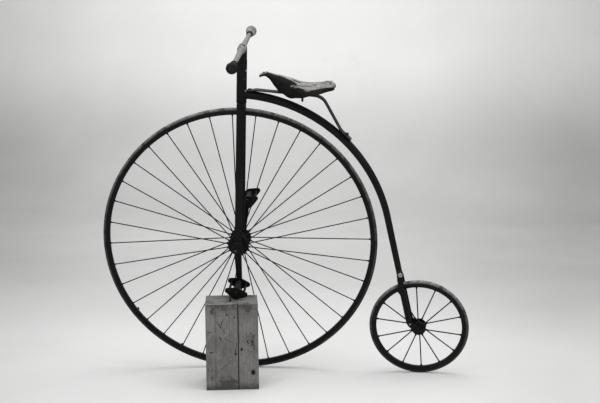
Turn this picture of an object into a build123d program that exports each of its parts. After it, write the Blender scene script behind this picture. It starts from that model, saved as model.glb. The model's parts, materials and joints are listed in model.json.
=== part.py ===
from build123d import *

import math
import os

# High-wheel bicycle of about 1880, leaning on the wooden block that its left pedal rests on.
# Millimetres. It is drawn upright and straight ahead, with the front hub's centre at the
# origin: X points to the rear, Y to the rider's right and Z up. At the end it is steered and
# leaned as it stands, and moved so that the floor under the middle of it is the origin.

# Stance
rake = 3.8
lean = 11.0
rest_steer = 4.9
rest_gap = 0.8

# Fits
running_gap = 0.05
side_gap = 1.0
seat_gap = 0.05
rest_seat = 0.3

# Wheels
front_radius = 635.0
rear_radius = 229.0
wheel_gap = 51.9
tyre_radius = 11.5
rim_edge = 1.0
rim_depth = 20.5
rim_foot = 6.0
rim_lip = 2.0

front_spokes = 36
front_spoke_turn = 0.0
front_spoke_radius = 2.4
front_flange_y = 52.0
front_flange_radius = 48.0
front_flange_wall = 7.0
front_barrel_radius = 24.0
front_hub_end = 60.0
front_axle_radius = 11.0

rear_spokes = 14
rear_spoke_turn = 0.6
rear_spoke_radius = 2.8
rear_flange_y = 19.0
rear_flange_radius = 33.0
rear_flange_wall = 6.5
rear_barrel_radius = 15.0
rear_hub_end = 24.0
rear_axle_radius = 5.0
rear_axle_end_radius = 4.5
rear_axle_end = 9.0
spoke_end_y = 2.0
spoke_end_gap = 0.5

# Backbone
backbone_rise = 62.0
backbone_top_radius = 19.5
backbone_foot_radius = 14.0
rear_fork_set = 37.0
rear_crown_gap = 29.0
rear_crown_height = 12.0

# Steering
socket_radius = 23.0
socket_bore = 14.0
socket_length = 192.5
crown_arch_gap = 10.0
crown_height = 14.0
bearing_y = 70.0
bearing_width = 18.0
bearing_radius = 26.0
bearing_edge = 2.0
blade_top_y = 27.0
blade_top_width = 38.0
blade_foot_width = 32.0
blade_top_wall = 14.0
blade_foot_wall = 11.0
blade_sink = 2.0
top_nut_radius = 22.0

# Handlebar
bar_rise = 51.0
bar_half_length = 398.0
bar_middle_radius = 13.0
bar_end_radius = 9.5
bar_lug_radius = 19.5
bar_lug_half = 26.0
grip_length = 108.0
grip_radius = 25.0
grip_neck_radius = 13.0

# Cranks and pedals
crank_length = 162.0
crank_left_angle = 0.0
crank_right_angle = 168.0
crank_wall = 15.0
crank_root_radius = 23.0
crank_root_width = 34.0
crank_end_width = 24.0
crank_end_radius = 15.0
crank_edge = 2.0
cotter_radius = 4.5
cotter_reach = 27.0
pedal_pin_radius = 6.5
pin_shoulder = 3.5
pin_end = 7.0
pedal_inner_y = 104.0
pedal_width = 124.0
pedal_plate_wall = 4.0
pedal_left_tilt = 15.0
pedal_right_tilt = -20.0
pedal_bar_reach = 33.0
pedal_bar_radius = 5.5
pedal_tip_reach = 40.0
pedal_tip_radius = 12.0
pedal_top_reach = 10.0
pedal_top_radius = 14.0
pedal_foot_reach = 14.0
pedal_foot_radius = 20.0
pedal_barrel_radius = 15.0

# Rear fork
rear_blade_y = 26.0
rear_blade_wall = 8.0
rear_blade_width = 25.0
rear_eye_radius = 17.0
rear_bend_height = 21.0
rear_bend_radius = 42.0
axle_nut_radius = 10.0
axle_nut_wall = 7.0

# Step
step_reach = 60.0
step_turn = 10.0
step_rise = 20.0
step_radius = 7.0
step_disc_radius = 10.5
step_disc_wall = 4.0

# Saddle and spring
spring_width = 38.0
spring_wall = 5.0
spring_front_gap = 3.0
spring_front_length = 22.0
spring_front_rise = (13.0, 3.0)
spring_front_bend = 10.0
spring_run_end = (408.5, -12.0)
spring_rear_bend = 62.0
spring_rear_foot = (488.0, 509.0, 530.0)
spring_front_nut = (3.0, 4.0)
spring_rear_nut = (7.0, 11.0)
spring_nut_radius = 7.5
spring_stud_radius = 4.0
saddle_wall = 5.0
saddle_bar_wall = 5.0
saddle_bar_width = 16.0
saddle_bar_bend = 8.0
saddle_bar_front = ((149.0, 85.0), (170.0, 88.5), (194.0, 45.0))
saddle_bar_seat = (218.0, 372.0)
saddle_bar_rear = ((420.0, 30.0), (438.0, 47.2), (456.0, 44.3))
saddle_nut_radius = 10.0
saddle_nut_height = 8.0
saddle_bolt_place = 321.0
saddle_bolt_radius = 5.0
saddle_bolt_length = 30.0

# Columns: place along X, height of the crest, half width, height of the side
saddle_sections = (
    (130.0, 86.0, 9.0, 8.0),
    (145.0, 95.0, 16.0, 10.0),
    (165.0, 98.5, 20.0, 15.0),
    (205.0, 88.5, 27.0, 46.0),
    (228.0, 83.0, 34.0, 67.0),
    (252.0, 76.0, 43.0, 79.0),
    (282.0, 67.0, 56.0, 76.0),
    (318.0, 54.0, 73.0, 58.0),
    (356.0, 49.5, 86.0, 42.0),
    (400.0, 50.5, 82.0, 35.0),
    (440.0, 56.0, 60.0, 34.0),
    (457.0, 52.0, 42.0, 31.0),
    (468.0, 42.0, 22.0, 20.0),
)

# Wooden block
block_width = 233.0
block_depth = 216.0
block_turn = 12.0
block_offset = (-17.0, -58.0)
block_joint = 144.0
block_edge = 2.5
block_top_edge = 1.2
block_step = 0.6

steering_direction = Vector(math.sin(math.radians(rake)), 0, math.cos(math.radians(rake)))
wheel_distance = front_radius + rear_radius + wheel_gap
wheelbase = math.sqrt(wheel_distance**2 - (front_radius - rear_radius) ** 2)
rear_centre = Vector(wheelbase, 0, rear_radius - front_radius)
rim_half_width = tyre_radius + rim_edge
pieces = {}
bodies = {}


def keep(builder, name, body):
    """Keep a finished piece under its name, with the body that carries it."""
    pieces[name] = builder
    bodies[name] = body


def on_column(height):
    """The point at a height along the raked steering line."""
    return steering_direction * height


def across(centre, y):
    """A plane that faces the rider's right, at a distance across the bicycle."""
    return Plane(origin=(centre.X, y, centre.Z), x_dir=(1, 0, 0), z_dir=(0, 1, 0))


def radial(centre):
    """A plane through a wheel's axle: its x runs along the axle and its y outwards."""
    return Plane(origin=(centre.X, 0, centre.Z), x_dir=(0, 1, 0), z_dir=(1, 0, 0))


# Wheels: a solid rubber tyre in a hollow-backed rim, straight radial spokes and a flanged hub.
def make_tyre(centre, radius):
    with BuildPart() as tyre:
        with BuildSketch(radial(centre)):
            with Locations((0, radius - tyre_radius)):
                Circle(tyre_radius)
        revolve(axis=Axis(centre, (0, 1, 0)))
    return tyre


def make_rim(centre, radius):
    seat = radius - tyre_radius
    inside = seat - rim_depth
    with BuildPart() as rim:
        with BuildSketch(radial(centre)):
            with BuildLine():
                Polyline(
                    (-rim_half_width, seat - rim_lip),
                    (-rim_half_width, seat - 2 * rim_lip),
                    (-rim_foot, inside),
                    (rim_foot, inside),
                    (rim_half_width, seat - 2 * rim_lip),
                    (rim_half_width, seat - rim_lip),
                    close=True,
                )
            make_face()
            with Locations((0, seat)):
                Circle(tyre_radius, mode=Mode.SUBTRACT)
        revolve(axis=Axis(centre, (0, 1, 0)))
    return rim


def make_spokes(centre, radius, side, count, turn, flange, flange_y, thickness):
    inside = radius - tyre_radius - rim_depth - spoke_end_gap
    first = 1 if side < 0 else 0
    with BuildPart() as spokes:
        for place in range(first, count, 2):
            angle = math.radians((place + turn) * 360 / count)
            out = Vector(math.cos(angle), 0, math.sin(angle))
            start = centre + out * (flange + spoke_end_gap) + Vector(0, side * flange_y, 0)
            end = centre + out * inside + Vector(0, side * spoke_end_y, 0)
            with BuildSketch(Plane(origin=start, z_dir=(end - start).normalized())):
                Circle(thickness)
            extrude(amount=(end - start).length)
    return spokes


def make_hub(centre, flange_y, flange, wall, barrel, end, bore):
    with BuildPart() as hub:
        with BuildSketch(radial(centre)):
            with BuildLine():
                Polyline(
                    (-end, bore),
                    (-end, barrel),
                    (-flange_y - wall / 2, barrel),
                    (-flange_y - wall / 2, flange),
                    (-flange_y + wall / 2, flange),
                    (-flange_y + wall / 2, barrel + wall),
                    (-flange_y + 2 * wall, barrel),
                    (flange_y - 2 * wall, barrel),
                    (flange_y - wall / 2, barrel + wall),
                    (flange_y - wall / 2, flange),
                    (flange_y + wall / 2, flange),
                    (flange_y + wall / 2, barrel),
                    (end, barrel),
                    (end, bore),
                    close=True,
                )
            make_face()
        revolve(axis=Axis(centre, (0, 1, 0)))
        rings = hub.edges().filter_by(GeomType.CIRCLE)
        chamfer([ring for ring in rings if abs(ring.radius - flange) < seat_gap], wall / 4)
    return hub


origin = Vector(0, 0, 0)
for wheel, centre, radius, *spoking in (
    (
        *("front", origin, front_radius, front_spokes, front_spoke_turn),
        *(front_flange_radius, front_flange_y, front_spoke_radius),
    ),
    (
        *("rear", rear_centre, rear_radius, rear_spokes, rear_spoke_turn),
        *(rear_flange_radius, rear_flange_y, rear_spoke_radius),
    ),
):
    keep(make_tyre(centre, radius), f"{wheel}_tyre", f"{wheel}_wheel")
    keep(make_rim(centre, radius), f"{wheel}_rim", f"{wheel}_wheel")
    for side, hand in ((-1, "left"), (1, "right")):
        spokes = make_spokes(centre, radius, side, *spoking)
        keep(spokes, f"{wheel}_spokes_{hand}", f"{wheel}_wheel")

front_hub = make_hub(
    origin,
    front_flange_y,
    front_flange_radius,
    front_flange_wall,
    front_barrel_radius,
    front_hub_end,
    front_axle_radius + seat_gap,
)
keep(front_hub, "front_hub", "front_wheel")
rear_hub = make_hub(
    rear_centre,
    rear_flange_y,
    rear_flange_radius,
    rear_flange_wall,
    rear_barrel_radius,
    rear_hub_end,
    rear_axle_radius + running_gap,
)
keep(rear_hub, "rear_hub", "rear_wheel")

# Front axle, turned in the fork's bearings, with a crank keyed on each end.
crank_inner_y = bearing_y + bearing_width / 2 + side_gap
crank_outer_y = crank_inner_y + crank_wall
with BuildPart() as front_axle:
    with BuildSketch(across(origin, -crank_outer_y)):
        Circle(front_axle_radius)
    extrude(amount=2 * crank_outer_y)
keep(front_axle, "front_axle", "front_wheel")


def crank_direction(angle):
    """From the axle to the pedal: straight down at angle 0, and to the rear as it grows."""
    return Vector(math.sin(math.radians(angle)), 0, -math.cos(math.radians(angle)))


def make_crank(side, angle):
    start_y = crank_inner_y if side > 0 else -crank_outer_y
    along = crank_direction(angle)
    face = Plane(origin=(0, start_y, 0), x_dir=along, z_dir=(0, 1, 0))
    with BuildPart() as crank:
        with BuildSketch(face):
            Circle(crank_root_radius)
            with Locations((crank_length, 0)):
                Circle(crank_end_radius)
            with BuildLine():
                Polyline(
                    (0, -crank_root_width / 2),
                    (crank_length, -crank_end_width / 2),
                    (crank_length, crank_end_width / 2),
                    (0, crank_root_width / 2),
                    close=True,
                )
            make_face()
        extrude(amount=crank_wall)
        outer = crank.faces().sort_by(Axis.Y)[-1 if side > 0 else 0]
        chamfer(outer.edges(), crank_edge)
        with BuildSketch(face):
            Circle(front_axle_radius + seat_gap)
            with Locations((crank_length, 0)):
                Circle(pedal_pin_radius + seat_gap)
        extrude(amount=crank_wall, mode=Mode.SUBTRACT)
        beside = along * (front_axle_radius + cotter_radius + seat_gap)
        turned = Vector(0, 1, 0).cross(along)
        middle_y = (crank_inner_y + crank_wall / 2) * side
        with BuildSketch(Plane(origin=beside + Vector(0, middle_y, 0) - turned * cotter_reach, z_dir=turned)):
            Circle(cotter_radius)
        extrude(amount=2 * cotter_reach)
    return crank


def make_pin(side, centre):
    stop = pedal_inner_y + pedal_width + side_gap
    shoulder_radius = pedal_pin_radius + pin_shoulder
    with BuildPart() as pin:
        with BuildSketch(radial(centre)):
            with BuildLine():
                Polyline(
                    (side * crank_inner_y, 0),
                    (side * crank_inner_y, pedal_pin_radius),
                    (side * crank_outer_y, pedal_pin_radius),
                    (side * crank_outer_y, shoulder_radius),
                    (side * (crank_outer_y + pin_shoulder), shoulder_radius),
                    (side * (crank_outer_y + pin_shoulder), pedal_pin_radius),
                    (side * stop, pedal_pin_radius),
                    (side * stop, shoulder_radius),
                    (side * (stop + pin_end), shoulder_radius),
                    (side * (stop + pin_end), 0),
                    close=True,
                )
            make_face()
        revolve(axis=Axis(centre, (0, 1, 0)))
    return pin


def pedal_plane(side, centre, y, height):
    """The pedal's own plane: x runs along its long way, tilted down to the rear."""
    start = y if side > 0 else -(y + height)
    tilt = math.radians(pedal_right_tilt if side > 0 else pedal_left_tilt)
    along = (math.cos(tilt), 0, -math.sin(tilt))
    return Plane(origin=(centre.X, start, centre.Z), x_dir=along, z_dir=(0, 1, 0))


def make_pedal_body(side, centre):
    bore = pedal_pin_radius + running_gap
    plates = (pedal_inner_y, pedal_inner_y + pedal_width - pedal_plate_wall)
    with BuildPart() as body:
        for plate_y in plates:
            with BuildSketch(pedal_plane(side, centre, plate_y, pedal_plate_wall)):
                with Locations((-pedal_tip_reach, 0), (pedal_tip_reach, 0)):
                    Circle(pedal_tip_radius)
                with Locations((0, -pedal_top_reach)):
                    Circle(pedal_top_radius)
                with Locations((0, pedal_foot_reach)):
                    Circle(pedal_foot_radius)
                make_hull()
                Circle(bore, mode=Mode.SUBTRACT)
            extrude(amount=pedal_plate_wall)
        barrel = pedal_width - 2 * pedal_plate_wall
        with BuildSketch(pedal_plane(side, centre, pedal_inner_y + pedal_plate_wall, barrel)):
            Circle(pedal_barrel_radius)
            Circle(bore, mode=Mode.SUBTRACT)
        extrude(amount=barrel)
    return body


def make_pedal_bars(side, centre):
    barrel = pedal_width - 2 * pedal_plate_wall
    with BuildPart() as bars:
        with BuildSketch(pedal_plane(side, centre, pedal_inner_y + pedal_plate_wall, barrel)):
            with Locations((-pedal_bar_reach, 0), (pedal_bar_reach, 0)):
                Circle(pedal_bar_radius)
        extrude(amount=barrel)
    return bars


pedal_centres = {}
for side, hand, angle in ((-1, "left", crank_left_angle), (1, "right", crank_right_angle)):
    pedal_centre = crank_direction(angle) * crank_length
    pedal_centres[hand] = pedal_centre
    keep(make_crank(side, angle), f"crank_{hand}", "front_wheel")
    keep(make_pin(side, pedal_centre), f"pedal_pin_{hand}", "front_wheel")
    keep(make_pedal_body(side, pedal_centre), f"pedal_body_{hand}", f"pedal_{hand}")
    keep(make_pedal_bars(side, pedal_centre), f"pedal_bars_{hand}", f"pedal_{hand}")

# Front fork: two blades that spread from the crown to the axle bearings.
column = Plane(origin=(0, 0, 0), x_dir=Vector(0, 1, 0).cross(steering_direction), z_dir=steering_direction)
crown_foot = front_radius + crown_arch_gap
crown_top = crown_foot + crown_height
socket_start = crown_top + side_gap / 2
socket_top = socket_start + socket_length
bar_height = socket_top + bar_rise
with BuildPart() as fork_crown:
    with BuildSketch(column.offset(crown_foot)):
        SlotCenterToCenter(2 * blade_top_y, blade_top_width, rotation=90)
    extrude(amount=crown_height)
    with BuildSketch(column.offset(crown_top)):
        Circle(socket_bore - running_gap)
    extrude(amount=bar_height - bar_lug_radius - side_gap - crown_top)
keep(fork_crown, "fork_crown", "fork")

for side, hand in ((-1, "left"), (1, "right")):
    with BuildPart() as blade:
        foot_gap = bearing_radius - blade_sink
        with BuildSketch(column.offset(crown_foot)):
            with Locations((0, side * blade_top_y)):
                Ellipse(blade_top_width / 2, blade_top_wall / 2)
        with BuildSketch(column.offset(foot_gap)):
            with Locations((0, side * bearing_y)):
                Ellipse(blade_foot_width / 2, blade_foot_wall / 2)
        loft(ruled=True)
        with BuildSketch(across(origin, side * bearing_y - bearing_width / 2)):
            Circle(bearing_radius + seat_gap)
        extrude(amount=bearing_width, mode=Mode.SUBTRACT)
    keep(blade, f"fork_blade_{hand}", "fork")

    with BuildPart() as bearing:
        with BuildSketch(across(origin, side * bearing_y - bearing_width / 2)):
            Circle(bearing_radius)
        extrude(amount=bearing_width)
        chamfer(bearing.edges(), bearing_edge)
        with BuildSketch(across(origin, side * bearing_y - bearing_width / 2)):
            Circle(front_axle_radius + running_gap)
        extrude(amount=bearing_width, mode=Mode.SUBTRACT)
    keep(bearing, f"fork_bearing_{hand}", "fork")

# Steering socket: the tube at the backbone's front end, with the fork's stem turning in it.
with BuildPart() as steering_socket:
    with BuildSketch(column.offset(socket_start)):
        Circle(socket_radius)
        Circle(socket_bore, mode=Mode.SUBTRACT)
    extrude(amount=socket_length)
keep(steering_socket, "steering_socket", "frame")

# Top nut: a tall collar on the stem, hollowed at the top where the bar's lug lies in it.
with BuildPart() as top_nut:
    with BuildSketch(column.offset(socket_top + side_gap / 2)):
        Circle(top_nut_radius)
        Circle(socket_bore, mode=Mode.SUBTRACT)
    extrude(amount=bar_rise - side_gap / 2)
    with BuildSketch(across(on_column(bar_height), -top_nut_radius)):
        Circle(bar_lug_radius + seat_gap)
    extrude(amount=2 * top_nut_radius, mode=Mode.SUBTRACT)
keep(top_nut, "top_nut", "fork")

# Handlebar: one straight bar through a lug on the stem, with a pear-shaped grip on each end.
bar_line = Plane(origin=on_column(bar_height), x_dir=(0, 1, 0), z_dir=(1, 0, 0))
grip_start = bar_half_length + grip_radius - grip_length
with BuildPart() as handlebar:
    with BuildSketch(bar_line):
        with BuildLine():
            Polyline(
                (-grip_start, 0),
                (-grip_start, bar_end_radius),
                (-2 * bar_lug_half, bar_middle_radius),
                (-bar_lug_half, bar_lug_radius),
                (bar_lug_half, bar_lug_radius),
                (2 * bar_lug_half, bar_middle_radius),
                (grip_start, bar_end_radius),
                (grip_start, 0),
                close=True,
            )
        make_face()
    revolve(axis=Axis(on_column(bar_height), (0, 1, 0)))
keep(handlebar, "handlebar", "fork")

for side, hand in ((-1, "left"), (1, "right")):
    with BuildPart() as grip:
        with BuildSketch(bar_line):
            with BuildLine():
                Line((side * grip_start, 0), (side * grip_start, grip_neck_radius))
                TangentArc(
                    (side * grip_start, grip_neck_radius),
                    (side * bar_half_length, grip_radius),
                    tangent=(side, 0.02),
                )
                CenterArc((side * bar_half_length, 0), grip_radius, 90, -90 * side)
                Line((side * (bar_half_length + grip_radius), 0), (side * grip_start, 0))
            make_face()
        revolve(axis=Axis(on_column(bar_height), (0, 1, 0)))
    keep(grip, f"grip_{hand}", "fork")

# Backbone: an arc concentric with the front wheel, then straight down to the rear fork.
backbone_line_radius = front_radius + backbone_rise
ahead = Vector(wheelbase - rear_fork_set, 0, rear_centre.Z)
leave = math.atan2(ahead.Z, ahead.X) + math.acos(backbone_line_radius / ahead.length)
arc_end = Vector(math.cos(leave), 0, math.sin(leave)) * backbone_line_radius
down = Vector(math.sin(leave), 0, -math.cos(leave))
crown_z = rear_centre.Z + rear_radius + rear_crown_gap
crown_point = arc_end + down * ((arc_end.Z - crown_z) / math.cos(leave))
side_view = Plane(origin=(0, 0, 0), x_dir=(1, 0, 0), z_dir=(0, -1, 0))
with BuildPart() as backbone:
    with BuildLine(side_view) as backbone_line:
        CenterArc((0, 0), backbone_line_radius, 90 - rake, math.degrees(leave) - 90 + rake)
        Line((arc_end.X, arc_end.Z), (crown_point.X, crown_point.Z))
    path = backbone_line.wires()[0]
    for place, radius in ((0, backbone_top_radius), (1, backbone_foot_radius)):
        with BuildSketch(Plane(origin=path @ place, z_dir=path % place)):
            Circle(radius)
    sweep(path=path, multisection=True)
    with BuildSketch(column.offset(socket_start)):
        Circle(socket_radius + seat_gap)
    extrude(amount=socket_length, mode=Mode.SUBTRACT)
keep(backbone, "backbone", "frame")

# Rear fork: a crown under the backbone's foot and a blade on each side that bends to the axle.
bend = crown_point + down * ((crown_z - rear_centre.Z - rear_bend_height) / math.cos(leave))
with BuildPart() as rear_crown:
    with BuildSketch(Plane(origin=crown_point, x_dir=(0, 1, 0), z_dir=down)):
        SlotCenterToCenter(2 * (rear_blade_y + rear_blade_wall) - rear_blade_width, rear_blade_width)
    extrude(amount=rear_crown_height)
keep(rear_crown, "rear_fork_crown", "frame")

blade_start = crown_point + down * rear_crown_height
for side, hand in ((-1, "left"), (1, "right")):
    inner = rear_blade_y if side > 0 else -rear_blade_y - rear_blade_wall
    with BuildPart() as rear_blade:
        with BuildSketch(across(origin, inner)):
            with BuildLine():
                FilletPolyline(
                    (blade_start.X, -blade_start.Z),
                    (bend.X, -bend.Z),
                    (rear_centre.X, -rear_centre.Z),
                    radius=rear_bend_radius,
                )
            trace(line_width=rear_blade_width)
            with Locations((rear_centre.X, -rear_centre.Z)):
                Circle(rear_eye_radius)
                Circle(rear_axle_radius + seat_gap, mode=Mode.SUBTRACT)
        extrude(amount=rear_blade_wall)
    keep(rear_blade, f"rear_fork_{hand}", "frame")

nut_inner = rear_blade_y + rear_blade_wall
nut_outer = nut_inner + axle_nut_wall
with BuildPart() as rear_axle:
    with BuildSketch(across(rear_centre, -nut_inner)):
        Circle(rear_axle_radius)
    extrude(amount=2 * nut_inner)
    with BuildSketch(across(rear_centre, -nut_outer - rear_axle_end)):
        Circle(rear_axle_end_radius)
    extrude(amount=2 * (nut_outer + rear_axle_end))
    for start in (-nut_outer, nut_inner):
        with BuildSketch(across(rear_centre, start)):
            RegularPolygon(axle_nut_radius, 6)
        extrude(amount=axle_nut_wall)
keep(rear_axle, "rear_axle", "frame")

# Mounting step: a peg with a disc end, on the left of the backbone's foot.
step_centre = crown_point - down * step_rise
step_way = Vector(math.sin(math.radians(step_turn)), -math.cos(math.radians(step_turn)), 0)
with BuildPart() as mounting_step:
    with BuildSketch(Plane(origin=step_centre, z_dir=step_way)):
        Circle(step_radius)
    extrude(amount=step_reach)
    with BuildSketch(Plane(origin=step_centre + step_way * step_reach, z_dir=step_way)):
        Circle(step_disc_radius)
    extrude(amount=step_disc_wall)
    add(backbone.part, mode=Mode.SUBTRACT)
keep(mounting_step, "mounting_step", "frame")

# Saddle spring: a flat leaf from the neck over the backbone, with its rear leg bolted to it.
# Its points are given along X, and in height from the top of the backbone's centre line.
leaf_reach = backbone_line_radius + backbone_top_radius + rest_seat + spring_wall / 2


def over_backbone(place):
    """The point of the leaf's middle where it lies on the backbone, at a place along X."""
    return (place, math.sqrt(leaf_reach**2 - place**2))


def raised(place, height):
    """A point of the side view, with its height taken from the top of the backbone's line."""
    return (place, backbone_line_radius + height)


def on_run(place, offset):
    """A point above the middle of the spring's straight run, by an offset square to it."""
    return (place, run_start.Y + (place - run_start.X) * run_down.Y / run_down.X + offset / run_down.X)


socket_edge = leaf_reach * math.sin(math.radians(rake)) + socket_radius / math.cos(math.radians(rake))
front_foot = (socket_edge + spring_front_gap, socket_edge + spring_front_gap + spring_front_length)
run_start = Vector(*over_backbone(front_foot[1])) + Vector(*spring_front_rise)
run_end = Vector(*raised(*spring_run_end))
run_middle = (run_start + run_end) / 2
run_down = (run_end - run_start).normalized()
with BuildPart() as saddle_spring:
    with BuildSketch(side_view):
        with BuildLine():
            FilletPolyline(
                *(over_backbone(place) for place in front_foot),
                run_start,
                run_middle,
                radius=spring_front_bend,
            )
            FilletPolyline(
                run_middle,
                run_end,
                *(over_backbone(place) for place in spring_rear_foot),
                radius=spring_rear_bend,
            )
        trace(line_width=spring_wall)
    extrude(amount=spring_width / 2, both=True)
keep(saddle_spring, "saddle_spring", "frame")

with BuildPart() as spring_nuts:
    for foot, (nut_height, stud_height) in (
        (front_foot, spring_front_nut),
        (spring_rear_foot, spring_rear_nut),
    ):
        foot_x, foot_z = over_backbone((foot[0] + foot[-1]) / 2)
        out = Vector(foot_x, 0, foot_z).normalized()
        nut_seat = out * (leaf_reach + spring_wall / 2 + rest_seat)
        with BuildSketch(Plane(origin=nut_seat, z_dir=out)):
            RegularPolygon(spring_nut_radius, 6)
        extrude(amount=nut_height)
        with BuildSketch(Plane(origin=nut_seat, z_dir=out)):
            Circle(spring_stud_radius)
        extrude(amount=stud_height)
keep(spring_nuts, "spring_nuts", "frame")

# Saddle: a flat iron bar bolted on the spring, with a tab under the leather at each end.
bar_lift = (spring_wall + saddle_bar_wall) / 2 + seat_gap
with BuildPart() as saddle_bar:
    with BuildSketch(side_view):
        with BuildLine():
            FilletPolyline(
                *(raised(*point) for point in saddle_bar_front),
                *(on_run(place, bar_lift) for place in saddle_bar_seat),
                *(raised(*point) for point in saddle_bar_rear),
                radius=saddle_bar_bend,
            )
        trace(line_width=saddle_bar_wall)
    extrude(amount=saddle_bar_width / 2, both=True)
keep(saddle_bar, "saddle_bar", "frame")

bolt_x, bolt_z = on_run(saddle_bolt_place, -spring_wall / 2 - seat_gap)
bolt_plane = Plane(origin=(bolt_x, 0, bolt_z), z_dir=(run_down.Y, 0, -run_down.X))
with BuildPart() as saddle_bolt:
    with BuildSketch(bolt_plane):
        RegularPolygon(saddle_nut_radius, 6)
    extrude(amount=saddle_nut_height)
    with BuildSketch(bolt_plane):
        Circle(saddle_bolt_radius)
    extrude(amount=saddle_bolt_length)
keep(saddle_bolt, "saddle_bolt", "frame")

with BuildPart() as saddle_leather:
    for place, top, half, drop in saddle_sections:
        crest = (place, 0, backbone_line_radius + top)
        with BuildSketch(Plane(origin=crest, x_dir=(0, 1, 0), z_dir=(1, 0, 0))):
            with BuildLine():
                ThreePointArc((-half, -drop), (0, 0), (half, -drop))
                Line((half, -drop), (half - saddle_wall, -drop))
                ThreePointArc((half - saddle_wall, -drop), (0, -saddle_wall), (-half + saddle_wall, -drop))
                Line((-half + saddle_wall, -drop), (-half, -drop))
            make_face()
    loft()
keep(saddle_leather, "saddle_leather", "frame")

# Stance: steered, leaned, then tipped so little that both tyres touch the floor.
steering_frame = column.location
steered = steering_frame * Location((0, 0, 0), (0, 0, rest_steer)) * steering_frame.inverse()


def lowest(place, centre, axis, ring, tube):
    """Height of the lowest point of a ring or a disc's edge, once it is placed."""
    middle = (place * Location(centre)).position
    tip = (place * Location(centre + axis)).position
    slant = (tip - middle).Z
    return middle.Z - ring * math.sqrt(1 - slant * slant) - tube


tip_back = 0.0
for settle in range(4):
    stand = Location((0, 0, 0), (0, tip_back, 0)) * Location((0, 0, 0), (lean, 0, 0))
    front_low = lowest(stand * steered, origin, Vector(0, 1, 0), front_radius - tyre_radius, tyre_radius)
    rear_low = lowest(stand, rear_centre, Vector(0, 1, 0), rear_radius - tyre_radius, tyre_radius)
    tip_back += math.degrees(math.asin((rear_low - front_low) / wheelbase))
stand = Location((0, 0, -front_low)) * stand

# Wooden block: two upright timbers side by side, as tall as the pedal's lowest lobe.
tilt = math.radians(pedal_left_tilt)
lobe = Vector(-math.sin(tilt), 0, -math.cos(tilt)) * pedal_foot_reach
lobe_centre = pedal_centres["left"] + lobe + Vector(0, -pedal_inner_y - pedal_width, 0)
block_height = lowest(stand * steered, lobe_centre, Vector(0, 1, 0), pedal_foot_radius, 0) - rest_gap
pedal_middle = pedal_centres["left"] + Vector(0, -pedal_inner_y - pedal_width / 2, 0)
pedal_place = (stand * steered * Location(pedal_middle)).position
block_middle = Vector(pedal_place.X + block_offset[0], pedal_place.Y + block_offset[1], 0)
block_plane = Plane(
    origin=block_middle,
    x_dir=(math.cos(math.radians(block_turn)), math.sin(math.radians(block_turn)), 0),
    z_dir=(0, 0, 1),
)
for name, start, width, height in (
    ("block_timber_wide", 0, block_joint, block_height),
    ("block_timber_narrow", block_joint, block_width - block_joint, block_height - block_step),
):
    with BuildPart() as timber:
        with BuildSketch(block_plane):
            with Locations((start + width / 2 - block_width / 2, 0)):
                Rectangle(width, block_depth)
        extrude(amount=height)
        fillet(timber.edges().filter_by(Axis.Z), block_edge)
        chamfer(timber.faces().sort_by(Axis.Z)[-1].edges(), block_top_edge)
    keep(timber, name, "block")

# Each piece is placed by its body. The floor point under the whole one's middle is the origin.
placing = {"frame": stand, "rear_wheel": stand, "block": Location((0, 0, 0))}
placing.update({body: stand * steered for body in ("fork", "front_wheel", "pedal_left", "pedal_right")})
for name, piece in pieces.items():
    piece.part = piece.part.moved(placing[bodies[name]])
boxes = [piece.part.bounding_box() for piece in pieces.values()]
low = [min(getattr(box.min, axis) for box in boxes) for axis in "XYZ"]
high = [max(getattr(box.max, axis) for box in boxes) for axis in "XYZ"]
middle = Location((-(low[0] + high[0]) / 2, -(low[1] + high[1]) / 2, -low[2]))

os.makedirs("parts", exist_ok=True)
for name, piece in pieces.items():
    piece.part = piece.part.moved(middle)
    piece.part.label = name
    export_step(piece.part, f"parts/{name}.step")
print("block height", round(block_height, 1))
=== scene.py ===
import json
import math

import bpy
from mathutils import Matrix, Vector, noise


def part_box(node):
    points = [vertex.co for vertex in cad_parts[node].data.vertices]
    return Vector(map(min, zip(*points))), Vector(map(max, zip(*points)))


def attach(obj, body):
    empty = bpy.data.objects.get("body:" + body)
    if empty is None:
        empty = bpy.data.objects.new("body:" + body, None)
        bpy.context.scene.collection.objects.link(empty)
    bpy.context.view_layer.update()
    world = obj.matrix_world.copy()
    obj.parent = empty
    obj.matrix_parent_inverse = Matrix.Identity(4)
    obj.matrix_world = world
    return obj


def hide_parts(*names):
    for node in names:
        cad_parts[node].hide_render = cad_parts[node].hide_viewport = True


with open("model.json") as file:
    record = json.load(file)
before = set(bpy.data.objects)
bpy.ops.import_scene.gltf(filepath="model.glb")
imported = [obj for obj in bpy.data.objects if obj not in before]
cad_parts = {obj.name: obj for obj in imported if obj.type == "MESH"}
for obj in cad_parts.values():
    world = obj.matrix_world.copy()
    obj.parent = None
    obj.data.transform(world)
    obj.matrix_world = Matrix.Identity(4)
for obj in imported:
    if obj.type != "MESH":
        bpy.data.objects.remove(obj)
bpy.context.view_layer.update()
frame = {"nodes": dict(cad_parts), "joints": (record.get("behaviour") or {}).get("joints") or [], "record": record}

# Studio: a pale floor that curves up into a back wall, as one seamless sheet, with soft lamps
# overhead and in front. The camera stands at the left of the bicycle, as high as its saddle.
joints = {joint["name"]: joint for joint in frame["joints"]}
front_hub = Vector(joints["front_wheel_spin"]["pos_m"])
camera_from_hub = Vector((1.20091, -5.82226, 0.92573))
yaw, pitch, roll = -0.1563, -0.12454, -0.00882
focal_pixels, picture_width = 1301.9, 600
sensor_width = 36

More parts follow.
